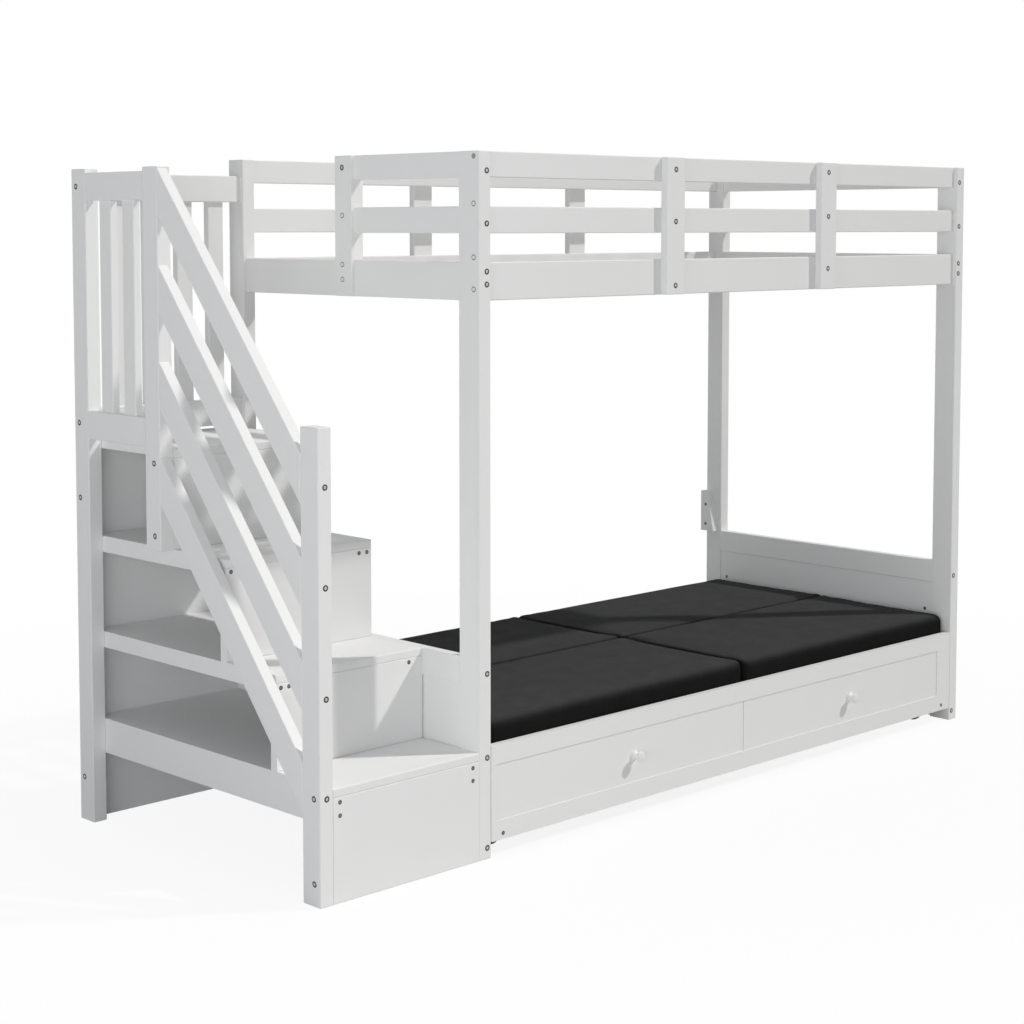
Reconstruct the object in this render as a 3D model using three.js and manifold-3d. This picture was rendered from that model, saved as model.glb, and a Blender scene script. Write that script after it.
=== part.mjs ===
import * as THREE from 'three';
import { mergeVertices } from 'three/addons/utils/BufferGeometryUtils.js';
import Module from 'manifold-3d';

// Loft bed with storage stairs and a cushioned pull-out bed on casters.
// Millimetres, +Z up. Inside the bed group X runs along the bed from the stair's outer side,
// Y runs back from the fronts of the posts, and Z is the height above the floor.

const wasm = await Module();
wasm.setup();

// Overall sizes of the bed frame and of the stair beside it
const stairWidth = 440.3;
const frameLength = 1991.4;
const bedDepth = 959.3;
const bedHeight = 1664.2;
const postWidth = 38;
const frontPostDepth = 68.4;
const backPostDepth = 60.5;
const easedEdge = 2.5;
const easedEnd = 1.5;
const edgeSteps = 2;
const overrun = 1;
const gridBits = 6;
const seatGap = 0.3;

// Guard rails round the upper bed
const railThickness = 25;
const railSetback = 10;
const endRailSetback = 10;
const topRailHeight = 60;
const upperRailGap = 67.2;
const midRailHeight = 63;
const lowerRailGap = 67;
const sideRailHeight = 89;
const guardBoardWidth = 70;
const guardBoardThickness = 20;
const guardBoardSpacing = 638;
const gateOpening = 378.8;
const gatePostWidth = 63;

// Slats under the mattress and the ledgers that carry them
const ledgerSize = 25;
const ledgerLift = 5;
const slatCount = 14;
const slatWidth = 70;
const slatThickness = 15;
const slatEndGap = 1.5;
const slatEdgeGap = 12;
const strapWidth = 24;
const strapThickness = 2;
const strapSink = 0.5;
const strapInset = 190;

// Panelled ends of the lower bed and the block on the rear right post
const endPanelTop = 480;
const endPanelFoot = 4;
const endPanelThickness = 24;
const endRailTopHeight = 66;
const endRailLowHeight = 46;
const panelBoardThickness = 14;
const panelRecess = 3;
const blockHeight = 132;
const blockDepth = 51.5;
const blockTopDepth = 29.5;
const blockThickness = 29.5;

// Stair: heights between the steps, their goings and their boards
const riseFirst = 259;
const riseSecond = 221;
const riseThird = 240.7;
const riseLanding = 240;
const goingSecond = 188;
const goingThird = 204;
const landingDepth = 367.3;
const treadThickness = 20;
const riserThickness = 22;
const lowBearerWidth = 38;
const lowBearerHeight = 67;
const highBearerWidth = 50;
const highBearerHeight = 20;
const stairPanelThickness = 15;
const stairPanelSetback = 3.3;

// Stair posts, slanting bars and the guards of the landing
const stairPostDepth = 60.5;
const frontPostDrop = 573.5;
const landingGuardHeight = 670.3;
const barCount = 4;
const barThickness = 29;
const barHeight = 112;
const barRise = 631;
const barTopDrop = 3;
const barLowDrop = 15.8;
const guardRailDrop = 10;
const guardRailHeight = 68;
const fasciaLift = 6;
const fasciaHeight = 69;
const guardSlatWidth = 48;
const guardSlatThickness = 20;
const guardSlatInset = 8;
const sideSlatCount = 2;
const backSlatCount = 4;
const backGuardRailThickness = 33;
const backGuardSetback = 10;
const backLowRailLift = 11;
const backSlatSetback = 9;

// Pull-out bed: panelled front, base, deck, knobs and casters
const pulloutSideGap = 1.5;
const frontBottom = 37.5;
const frontHeight = 231;
const frontThickness = 18;
const frontTopRail = 47.5;
const frontLowRail = 47.5;
const frontLeftStile = 16.5;
const frontRightStile = 64.5;
const frontPanelThickness = 12;
const frontPanelRecess = 2;
const frontPanelLap = 3;
const frontPanelJoint = 2.5;
const frontPanelJointShift = 5;
const baseSideInset = 26;
const baseBoardThickness = 25;
const baseBottom = 40;
const baseTop = 200;
const baseBackGap = 48.3;
const casterBeamWidth = 50;
const casterBeamHeight = 40;
const casterBeamInset = 38;
const deckThickness = 12;
const deckOverhang = 12;
const knobHeight = 153;
const knobSpacing = 910;
const knobShift = 1.5;
const knobReach = 25;
const knobHeadRadius = 13.5;
const knobNeckRadius = 7;
const knobFootRadius = 12.5;
const knobSides = 20;
const wheelRadius = 25;
const wheelWidth = 20;
const wheelRound = 4;
const wheelHubRadius = 10;
const wheelHubWidth = 23;
const wheelSides = 20;
const axleRadius = 4;
const axleClearance = 0.3;
const axleHeadRadius = 6.5;
const axleHeadThickness = 2;
const forkThickness = 2.5;
const forkSideClearance = 0.5;
const forkWidth = 30;
const forkTopGap = 6;
const forkPlateLength = 60;
const forkPlateWidth = 33;
const casterSideGap = 0.6;

// Cushions on the pull-out bed
const cushionThickness = 114;
const cushionCrown = 4;
const cushionCorner = 20;
const cushionEdge = 12;
const cushionDrawIn = 2.5;
const cushionJoint = 2;
const cushionEndGap = 8;
const cushionShift = 3;
const cushionFrontGap = 2;
const cushionBackGap = 4;
const cushionCornerSteps = 5;
const cushionSideSteps = 7;
const cushionEdgeSteps = 3;
const cushionCrownSteps = 4;

// Places along the three axes that several pieces share
const stairInner = postWidth;
const bedLeft = stairInner + stairWidth;
const bedRight = bedLeft + frameLength;
const innerLeft = bedLeft + postWidth;
const innerRight = bedRight - postWidth;
const innerLength = innerRight - innerLeft;
const bedMiddle = (innerLeft + innerRight) / 2;
const backPostFront = bedDepth - backPostDepth;
const topRailBottom = bedHeight - topRailHeight;
const midRailBottom = topRailBottom - upperRailGap - midRailHeight;
const sideRailTop = midRailBottom - lowerRailGap;
const sideRailBottom = sideRailTop - sideRailHeight;
const frontRailBack = railSetback + railThickness;
const backRailFront = bedDepth - railSetback - railThickness;
const guardStandOff = guardBoardThickness - railSetback;
const treadTops = [riseFirst, riseFirst + riseSecond, riseFirst + riseSecond + riseThird];
const landingTop = treadTops[2] + riseLanding;
const rearPostTop = landingTop + landingGuardHeight;
const frontPostTop = rearPostTop - frontPostDrop;
const barPitch = (rearPostTop - barTopDrop - (landingTop - barLowDrop)) / (barCount - 1);
const guardRailTop = rearPostTop - guardRailDrop;
const guardRailBottom = guardRailTop - guardRailHeight;
const landingFront = bedDepth - landingDepth;
const thirdFront = landingFront - goingThird;
const treadFronts = [0, thirdFront - goingSecond, thirdFront, landingFront];
const stairPanelFront = bedDepth - stairPanelSetback - stairPanelThickness;
const midPostFront = landingFront;
const midPostBack = midPostFront + stairPostDepth;
const rearPostFront = bedDepth - stairPostDepth;
const baseDepth = bedDepth - frontThickness - baseBackGap;
const cushionLength = (innerLength - 2 * (pulloutSideGap + cushionEndGap) - cushionJoint) / 2;
const cushionWidth = (baseDepth - cushionFrontGap - cushionBackGap - cushionJoint) / 2;
const wheelCentre = wheelRadius;
const frontMost = frontPanelRecess - knobReach;
const backMost = bedDepth + guardStandOff;

// Finishes
const paint = { color: 0xf2f2f2, roughness: 0.45, metalness: 0 };
const shade = { color: 0xe9e9ea, roughness: 0.5, metalness: 0 };
const fabric = { color: 0x1b1b1d, roughness: 0.9, metalness: 0 };
const steel = { color: 0x8d8f92, roughness: 0.35, metalness: 0.9 };
const tyre = { color: 0x242424, roughness: 0.7, metalness: 0 };
const webbing = { color: 0xdedad2, roughness: 0.9, metalness: 0 };

const bed = new THREE.Group();

// Coordinates are rounded to a binary part of a millimetre, so that faces that touch agree exactly
const onGrid = (value) => Math.round(value * 2 ** gridBits) / 2 ** gridBits;

// A named mesh in the bed, with its own material
function place(name, finish, geometry, at = [0, 0, 0]) {
  const points = geometry.attributes.position.array;
  points.forEach((value, i) => {
    points[i] = onGrid(value);
  });
  const mesh = new THREE.Mesh(geometry, new THREE.MeshStandardMaterial(finish));
  mesh.name = name;
  mesh.position.set(...at.map(onGrid));
  bed.add(mesh);
}

// Turns a profile extruded along local Z so that it runs along another axis
const turned = {
  x: new THREE.Matrix4().makeBasis(
    new THREE.Vector3(0, 1, 0), new THREE.Vector3(0, 0, 1), new THREE.Vector3(1, 0, 0)),
  y: new THREE.Matrix4().makeBasis(
    new THREE.Vector3(0, 0, 1), new THREE.Vector3(1, 0, 0), new THREE.Vector3(0, 1, 0)),
  z: new THREE.Matrix4(),
};

// Rectangle with its own radius at each corner, anticlockwise from the low corner
function roundedRectangle(width, height, radii) {
  const [a, b, c, d] = radii;
  const shape = new THREE.Shape();
  shape.moveTo(a, 0);
  shape.lineTo(width - b, 0);
  shape.absarc(width - b, b, b, -Math.PI / 2, 0, false);
  shape.lineTo(width, height - c);
  shape.absarc(width - c, height - c, c, 0, Math.PI / 2, false);
  shape.lineTo(d, height);
  shape.absarc(d, height - d, d, Math.PI / 2, Math.PI, false);
  shape.lineTo(0, a);
  shape.absarc(a, a, a, Math.PI, Math.PI * 1.5, false);
  return shape;
}

// Boards with sharp edges
const square = { radii: [0, 0, 0, 0] };

// Straight length of timber between two corners, with eased long edges
function timber(axis, low, high, options = {}) {
  const size = high.map((value, i) => value - low[i]);
  const [u, v, w] = { x: [1, 2, 0], y: [2, 0, 1], z: [0, 1, 2] }[axis];
  const radii = options.radii ?? [easedEdge, easedEdge, easedEdge, easedEdge];
  const ends = options.easedEnds ? easedEnd : 0;
  const shape = roundedRectangle(size[u], size[v], radii);
  const geometry = new THREE.ExtrudeGeometry(shape, {
    depth: size[w] - 2 * ends,
    curveSegments: edgeSteps,
    bevelEnabled: ends > 0,
    bevelThickness: ends,
    bevelSize: ends,
    bevelOffset: -ends,
    bevelSegments: 1,
  });
  geometry.translate(0, 0, ends);
  geometry.applyMatrix4(turned[axis]);
  return geometry.translate(...low);
}

// Outline in the plane across an axis, extruded between two places on it
function slab(axis, points, from, to) {
  const shape = new THREE.Shape(points.map(([a, b]) => new THREE.Vector2(a, b)));
  const geometry = new THREE.ExtrudeGeometry(shape, { depth: to - from, bevelEnabled: false });
  geometry.translate(0, 0, from);
  return geometry.applyMatrix4(turned[axis]);
}

// Profile of radius and height turned into a round piece along an axis
function turnedPiece(axis, profile, sides) {
  const points = profile.map(([r, h]) => new THREE.Vector2(r, h));
  const geometry = new THREE.LatheGeometry(points, sides);
  geometry.rotateX(Math.PI / 2);
  return geometry.applyMatrix4(turned[axis]);
}

// Closed geometry as a solid for joining and cutting
function solid(geometry) {
  const bare = geometry.clone();
  bare.deleteAttribute('normal');
  bare.deleteAttribute('uv');
  const merged = mergeVertices(bare);
  return new wasm.Manifold(new wasm.Mesh({
    numProp: 3,
    vertProperties: Float32Array.from(merged.attributes.position.array),
    triVerts: Uint32Array.from(merged.index.array),
  }));
}

// Joined or cut solid as a geometry again
function geometryOf(body) {
  const mesh = body.getMesh();
  const geometry = new THREE.BufferGeometry();
  geometry.setAttribute('position', new THREE.BufferAttribute(mesh.vertProperties, 3));
  geometry.setIndex(new THREE.BufferAttribute(mesh.triVerts, 1));
  return geometry;
}

function joined(geometries) {
  return geometryOf(geometries.map(solid).reduce((whole, next) => whole.add(next)));
}

// Four posts of the bed frame
function bedPosts() {
  const spots = [
    ['bed_post_front_left', bedLeft, 0, frontPostDepth],
    ['bed_post_front_right', innerRight, 0, frontPostDepth],
    ['bed_post_back_left', bedLeft, backPostFront, bedDepth],
    ['bed_post_back_right', innerRight, backPostFront, bedDepth],
  ];
  for (const [name, x, front, back] of spots) {
    const low = [x, front, 0];
    const high = [x + postWidth, back, bedHeight];
    place(name, paint, timber('z', low, high, { easedEnds: true }));
  }
}

// Long rails at the front and the back of the upper bed, with the slat ledgers
function longRails() {
  const sides = [
    ['front', railSetback, frontRailBack],
    ['back', backRailFront, bedDepth - railSetback],
  ];
  for (const [side, front, back] of sides) {
    const rail = (bottom, height) =>
      timber('x', [innerLeft, front, bottom], [innerRight, back, bottom + height]);
    place(`${side}_top_rail`, paint, rail(topRailBottom, topRailHeight));
    place(`${side}_mid_rail`, paint, rail(midRailBottom, midRailHeight));
    const ledgerFront = side === 'front' ? back - overrun : front - ledgerSize;
    const ledger = timber('x',
      [innerLeft, ledgerFront, sideRailBottom + ledgerLift],
      [innerRight, ledgerFront + ledgerSize + overrun, sideRailBottom + ledgerLift + ledgerSize]);
    place(`${side}_side_rail`, paint, joined([rail(sideRailBottom, sideRailHeight), ledger]));
  }
}

// Cross rails at both ends of the upper bed; the left pair stops at the gate post
function endRails() {
  const gateFront = backPostFront - gateOpening - gatePostWidth;
  const leftOuter = bedLeft + endRailSetback;
  const rightOuter = bedRight - endRailSetback - railThickness;
  const ends = [
    ['left', leftOuter, gateFront],
    ['right', rightOuter, backPostFront],
  ];
  for (const [side, x, back] of ends) {
    const rail = (bottom, height, end) =>
      timber('y', [x, frontPostDepth, bottom], [x + railThickness, end, bottom + height]);
    place(`${side}_top_rail`, paint, rail(topRailBottom, topRailHeight, back));
    place(`${side}_mid_rail`, paint, rail(midRailBottom, midRailHeight, back));
    place(`${side}_low_rail`, paint, rail(sideRailBottom, sideRailHeight, backPostFront));
  }
}

// Post beside the way onto the bed; it stands on the low rail and laps over its outer face
function gatePost() {
  const back = backPostFront - gateOpening;
  const outline = [
    [sideRailBottom, bedLeft],
    [bedHeight, bedLeft],
    [bedHeight, innerLeft],
    [sideRailTop, innerLeft],
    [sideRailTop, bedLeft + endRailSetback],
    [sideRailBottom, bedLeft + endRailSetback],
  ];
  place('gate_post', paint, slab('y', outline.reverse(), back - gatePostWidth, back));
}

// Upright boards screwed over the long rails, two at the front and two at the back
function guardBoards() {
  const sides = [
    ['front', -guardStandOff],
    ['back', bedDepth - railSetback],
  ];
  for (const [side, front] of sides) {
    [-1, 1].forEach((way, i) => {
      const x = bedMiddle + way * guardBoardSpacing / 2 - guardBoardWidth / 2;
      const low = [x, front, sideRailBottom];
      const high = [x + guardBoardWidth, front + guardBoardThickness, bedHeight];
      place(`${side}_guard_board_${i + 1}`, paint, timber('z', low, high, { easedEnds: true }));
    });
  }
}

// Slats across the bed, held at their spacing by two straps underneath
function slatDeck() {
  const bottom = sideRailBottom + ledgerLift + ledgerSize;
  const front = frontRailBack + slatEndGap;
  const back = backRailFront - slatEndGap;
  const first = innerLeft + slatEdgeGap;
  const step = (innerLength - 2 * slatEdgeGap - slatWidth) / (slatCount - 1);
  const pieces = [];
  for (let i = 0; i < slatCount; i++) {
    const x = first + i * step;
    const high = [x + slatWidth, back, bottom + slatThickness];
    pieces.push(timber('y', [x, front, bottom], high, square));
  }
  for (const y of [front + strapInset, back - strapInset - strapWidth]) {
    const low = [first + strapWidth, y, bottom - strapThickness];
    const high = [innerRight - slatEdgeGap - strapWidth, y + strapWidth, bottom + strapSink];
    pieces.push(timber('x', low, high, square));
  }
  place('slat_deck', webbing, joined(pieces));
}

// Panelled ends of the lower bed: a top rail, a foot rail and a recessed board between them
function endPanels() {
  const outline = (x) => {
    const back = x + panelRecess + panelBoardThickness;
    const footTop = endPanelFoot + endRailLowHeight;
    const railBottom = endPanelTop - endRailTopHeight;
    return [
      [endPanelFoot, x],
      [footTop, x],
      [footTop, x + panelRecess],
      [railBottom, x + panelRecess],
      [railBottom, x],
      [endPanelTop, x],
      [endPanelTop, x + endPanelThickness],
      [railBottom, x + endPanelThickness],
      [railBottom, back],
      [footTop, back],
      [footTop, x + endPanelThickness],
      [endPanelFoot, x + endPanelThickness],
    ].reverse();
  };
  place('end_panel_left', paint, slab('y', outline(bedLeft), frontPostDepth, backPostFront));
  place('end_panel_right', paint, slab('y', outline(innerRight), frontPostDepth, backPostFront));
}

// Small wedge screwed to the rear right post on the end panel's top, its front sloping back
function wallBlock() {
  const top = endPanelTop + blockHeight;
  const outline = [
    [bedDepth - blockDepth, endPanelTop],
    [bedDepth, endPanelTop],
    [bedDepth, top],
    [bedDepth - blockTopDepth, top],
  ];
  place('wall_block', paint, slab('x', outline, innerRight - blockThickness, innerRight));
}

// Three posts on the stair's outer side
function stairPosts() {
  const spots = [
    ['stair_post_front', 0, stairPostDepth, 0, frontPostTop],
    ['stair_post_mid', midPostFront, midPostBack, treadTops[2], rearPostTop],
    ['stair_post_rear', rearPostFront, bedDepth, 0, rearPostTop],
  ];
  for (const [name, front, back, bottom, top] of spots) {
    const low = [0, front, bottom];
    const high = [postWidth, back, top];
    place(name, paint, timber('z', low, high, { easedEnds: true }));
  }
}

// Slanting bars between the front and the middle stair post
function slantingBars() {
  const run = [stairPostDepth, midPostFront];
  for (let i = 0; i < barCount; i++) {
    const topBack = rearPostTop - barTopDrop - i * barPitch;
    const topFront = topBack - barRise;
    const outline = [
      [run[0], topFront - barHeight],
      [run[1], topBack - barHeight],
      [run[1], topBack],
      [run[0], topFront],
    ];
    place(`slanting_bar_${i + 1}`, paint, slab('x', outline, 0, barThickness));
  }
}

// Guard on the landing's outer side: a rail, a low fascia and two slats between them
function landingSideGuard() {
  const fasciaBottom = landingTop + fasciaLift;
  const fasciaTop = fasciaBottom + fasciaHeight;
  const span = rearPostFront - midPostBack;
  const spacing = (span - sideSlatCount * guardSlatWidth) / (sideSlatCount + 1);
  const rail = (bottom, top) => timber('y', [0, midPostBack, bottom], [barThickness, rearPostFront, top]);
  const pieces = [rail(guardRailBottom, guardRailTop), rail(fasciaBottom, fasciaTop)];
  for (let i = 0; i < sideSlatCount; i++) {
    const y = midPostBack + spacing + i * (spacing + guardSlatWidth);
    const low = [guardSlatInset, y, fasciaTop - overrun];
    const high = [guardSlatInset + guardSlatThickness, y + guardSlatWidth, guardRailBottom + overrun];
    pieces.push(timber('z', low, high));
  }
  place('landing_side_guard', paint, joined(pieces));
}

// Guard at the landing's back: a rail on four slats that stand on the landing
function landingBackGuard() {
  const railFront = backPostFront + backGuardSetback;
  const lowRailBottom = landingTop + backLowRailLift;
  const spacing = (stairWidth - backSlatCount * guardSlatWidth) / (backSlatCount + 1);
  const pieces = [guardRailBottom, lowRailBottom].map((bottom) => timber('x',
    [stairInner, railFront, bottom],
    [bedLeft, railFront + backGuardRailThickness, bottom + guardRailHeight]));
  for (let i = 0; i < backSlatCount; i++) {
    const x = stairInner + spacing + i * (spacing + guardSlatWidth);
    const front = railFront + backSlatSetback;
    const low = [x, front, lowRailBottom + guardRailHeight - overrun];
    const high = [x + guardSlatWidth, front + guardSlatThickness, guardRailBottom + overrun];
    pieces.push(timber('z', low, high));
  }
  place('landing_back_guard', paint, joined(pieces));
}

// Treads that run back as shelves, each with a bearer along both ends
function treads() {
  treadTops.forEach((top, i) => {
    const bearerWidth = i === 0 ? lowBearerWidth : highBearerWidth;
    const bearerHeight = i === 0 ? lowBearerHeight : highBearerHeight;
    const boardBottom = top - treadThickness;
    const bearerBottom = boardBottom - bearerHeight;
    const bearerFront = treadFronts[i] + riserThickness;
    const board = timber('x',
      [stairInner, treadFronts[i], boardBottom],
      [bedLeft, stairPanelFront, top]);
    const bearers = [stairInner, bedLeft - bearerWidth].map((x) => timber('y',
      [x, bearerFront, bearerBottom],
      [x + bearerWidth, stairPanelFront, boardBottom + easedEdge + overrun], square));
    place(`tread_${i + 1}`, paint, joined([board, ...bearers]));
  });
}

// Landing board over the top riser and the back panel
function landing() {
  const low = [stairInner, midPostFront, landingTop - treadThickness];
  place('landing_board', paint, timber('x', low, [bedLeft, bedDepth - stairPanelSetback, landingTop]));
}

// Risers, each standing on the board below and carrying the board above
function risers() {
  const feet = [0, ...treadTops];
  const tops = [...treadTops, landingTop];
  feet.forEach((foot, i) => {
    const low = [stairInner, treadFronts[i], foot];
    const high = [bedLeft, treadFronts[i] + riserThickness, tops[i] - treadThickness];
    place(`riser_${i + 1}`, paint, timber('x', low, high));
  });
}

// Thin panel that closes the stair's back below the landing
function stairBackPanel() {
  const low = [stairInner, stairPanelFront, 0];
  const high = [bedLeft, bedDepth - stairPanelSetback, landingTop - treadThickness];
  place('stair_back_panel', shade, timber('x', low, high, square));
}

// Front of the pull-out bed: a flat frame with two recessed panels that meet at a joint
function pulloutFront() {
  const left = innerLeft + pulloutSideGap;
  const right = innerRight - pulloutSideGap;
  const top = frontBottom + frontHeight;
  const openLeft = left + frontLeftStile;
  const openRight = right - frontRightStile;
  const openBottom = frontBottom + frontLowRail;
  const openTop = top - frontTopRail;
  const shape = roundedRectangle(right - left, frontHeight, [easedEdge, easedEdge, easedEdge, easedEdge]);
  const hole = new THREE.Path([
    new THREE.Vector2(openLeft - left, openBottom - frontBottom),
    new THREE.Vector2(openLeft - left, openTop - frontBottom),
    new THREE.Vector2(openRight - left, openTop - frontBottom),
    new THREE.Vector2(openRight - left, openBottom - frontBottom),
  ]);
  shape.holes.push(hole);
  const frame = new THREE.ExtrudeGeometry(shape, {
    depth: frontThickness, curveSegments: edgeSteps, bevelEnabled: false,
  });
  frame.rotateX(Math.PI / 2);
  frame.translate(left, frontThickness, frontBottom);
  const joint = (openLeft + openRight) / 2 + frontPanelJointShift;
  const spans = [
    [openLeft - frontPanelLap, joint - frontPanelJoint / 2],
    [joint + frontPanelJoint / 2, openRight + frontPanelLap],
  ];
  const panels = spans.map(([from, to]) => timber('x',
    [from, frontPanelRecess, openBottom - frontPanelLap],
    [to, frontPanelRecess + frontPanelThickness, openTop + frontPanelLap], square));
  place('pullout_front', paint, joined([frame, ...panels]));
  return joint;
}

// Turned knobs on the two panels: a flared foot, a waist and a flat round head
function knobs() {
  const reachShares = { foot: 0.12, waist: 0.36, neck: 0.62, rim: 0.71, face: 0.92 };
  const faceShare = 0.82;
  const profile = [
    [0, 0],
    [knobFootRadius, 0],
    [knobFootRadius, knobReach * reachShares.foot],
    [knobNeckRadius, knobReach * reachShares.waist],
    [knobNeckRadius, knobReach * reachShares.neck],
    [knobHeadRadius, knobReach * reachShares.rim],
    [knobHeadRadius, knobReach * reachShares.face],
    [knobHeadRadius * faceShare, knobReach],
    [0, knobReach],
  ];
  [-1, 1].forEach((way, i) => {
    const x = bedMiddle + knobShift + way * knobSpacing / 2;
    const geometry = turnedPiece('y', profile, knobSides);
    geometry.rotateZ(Math.PI);
    place(`pullout_knob_${['left', 'right'][i]}`, paint, geometry, [x, frontPanelRecess, knobHeight]);
  });
}

// Base of the pull-out bed: side boards, back board, a centre web and two caster beams
function pulloutBase(joint) {
  const sideLeft = innerLeft + pulloutSideGap + baseSideInset;
  const sideRight = innerRight - pulloutSideGap - baseSideInset;
  const front = frontThickness;
  const back = front + baseDepth;
  const beamBottom = 2 * wheelRadius + forkTopGap + forkThickness;
  const beamTop = beamBottom + casterBeamHeight;
  const pieces = [
    timber('y', [sideLeft, front, baseBottom], [sideLeft + baseBoardThickness, back, baseTop], square),
    timber('y', [sideRight - baseBoardThickness, front, baseBottom], [sideRight, back, baseTop], square),
    timber('x', [sideLeft, back - baseBoardThickness, baseBottom], [sideRight, back, baseTop], square),
    timber('y',
      [joint - baseBoardThickness / 2, front, beamBottom],
      [joint + baseBoardThickness / 2, back, baseTop], square),
  ];
  const beamFronts = [front + casterBeamInset, back - baseBoardThickness - casterBeamInset - casterBeamWidth];
  for (const y of beamFronts) {
    pieces.push(timber('x', [sideLeft, y, beamBottom], [sideRight, y + casterBeamWidth, beamTop], square));
  }
  place('pullout_base', shade, joined(pieces));
  const deckLow = [sideLeft - deckOverhang, front, baseTop];
  const deckHigh = [sideRight + deckOverhang, back, baseTop + deckThickness];
  place('pullout_deck', shade, timber('x', deckLow, deckHigh, square));
  const casterHalf = wheelHubWidth / 2 + forkSideClearance + forkThickness + axleHeadThickness;
  const casterInset = baseBoardThickness + casterSideGap + casterHalf;
  return {
    xs: [sideLeft + casterInset, sideRight - casterInset],
    ys: beamFronts.map((y) => y + casterBeamWidth / 2),
  };
}

// Caster bracket: a top plate, two cheeks and the axle with its heads
function casterFork() {
  const cheekInner = wheelHubWidth / 2 + forkSideClearance;
  const cheekOuter = cheekInner + forkThickness;
  const plateBottom = wheelRadius + forkTopGap;
  const plateTop = plateBottom + forkThickness;
  const cheekShape = new THREE.Shape();
  cheekShape.moveTo(-forkWidth / 2, plateBottom + overrun);
  cheekShape.lineTo(-axleHeadRadius, -axleHeadRadius);
  cheekShape.lineTo(axleHeadRadius, -axleHeadRadius);
  cheekShape.lineTo(forkWidth / 2, plateBottom + overrun);
  const cheek = (x) => {
    const geometry = new THREE.ExtrudeGeometry(cheekShape, { depth: forkThickness, bevelEnabled: false });
    geometry.applyMatrix4(turned.x);
    return geometry.translate(x, 0, 0);
  };
  const plate = timber('z',
    [-forkPlateWidth / 2, -forkPlateLength / 2, plateBottom],
    [forkPlateWidth / 2, forkPlateLength / 2, plateTop]);
  const reach = cheekOuter + axleHeadThickness;
  const axle = turnedPiece('x', [
    [0, -reach],
    [axleHeadRadius, -reach],
    [axleHeadRadius, -cheekOuter + overrun],
    [axleRadius, -cheekOuter + overrun],
    [axleRadius, cheekOuter - overrun],
    [axleHeadRadius, cheekOuter - overrun],
    [axleHeadRadius, reach],
    [0, reach],
  ], wheelSides);
  return joined([plate, cheek(cheekInner), cheek(-cheekOuter), axle]);
}

// Caster wheel: rounded tyre, narrower web and a hub with the axle's bore
function casterWheel() {
  const bore = axleRadius + axleClearance;
  const half = wheelWidth / 2;
  const hub = wheelHubWidth / 2;
  return turnedPiece('x', [
    [bore, -hub],
    [wheelHubRadius, -hub],
    [wheelHubRadius, -half],
    [wheelRadius - wheelRound, -half],
    [wheelRadius, -half + wheelRound],
    [wheelRadius, half - wheelRound],
    [wheelRadius - wheelRound, half],
    [wheelHubRadius, half],
    [wheelHubRadius, hub],
    [bore, hub],
    [bore, -hub],
  ], wheelSides);
}

function casters(spots) {
  spots.ys.forEach((y, row) => {
    spots.xs.forEach((x, column) => {
      const corner = `${['front', 'back'][row]}_${['left', 'right'][column]}`;
      place(`caster_fork_${corner}`, steel, casterFork(), [x, y, wheelCentre]);
      place(`caster_wheel_${corner}`, tyre, casterWheel(), [x, y, wheelCentre]);
    });
  });
}

// Outline of a cushion at one inset, with round corners and sides drawn in between them
function cushionRing(inset) {
  const halfX = cushionLength / 2 - inset;
  const halfY = cushionWidth / 2 - inset;
  const corner = Math.max(cushionCorner - inset, 0);
  const drawn = cushionDrawIn * Math.max(1 - inset / cushionCorner, 0);
  const ring = [];
  const corners = [[1, 1], [-1, 1], [-1, -1], [1, -1]];
  corners.forEach(([sx, sy], i) => {
    const start = i * Math.PI / 2;
    const centre = [sx * (halfX - corner), sy * (halfY - corner)];
    for (let k = 0; k <= cushionCornerSteps; k++) {
      const angle = start + (k / cushionCornerSteps) * Math.PI / 2;
      ring.push([centre[0] + corner * Math.cos(angle), centre[1] + corner * Math.sin(angle)]);
    }
    const [nx, ny] = corners[(i + 1) % corners.length];
    const from = ring[ring.length - 1];
    const next = [nx * (halfX - corner), ny * (halfY - corner)];
    const end = start + Math.PI / 2;
    const to = [next[0] + corner * Math.cos(end), next[1] + corner * Math.sin(end)];
    for (let k = 1; k < cushionSideSteps; k++) {
      const t = k / cushionSideSteps;
      const pull = drawn * Math.sin(Math.PI * t);
      const x = from[0] + (to[0] - from[0]) * t - Math.cos(end) * pull;
      const y = from[1] + (to[1] - from[1]) * t - Math.sin(end) * pull;
      ring.push([x, y]);
    }
  });
  return ring;
}

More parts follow.
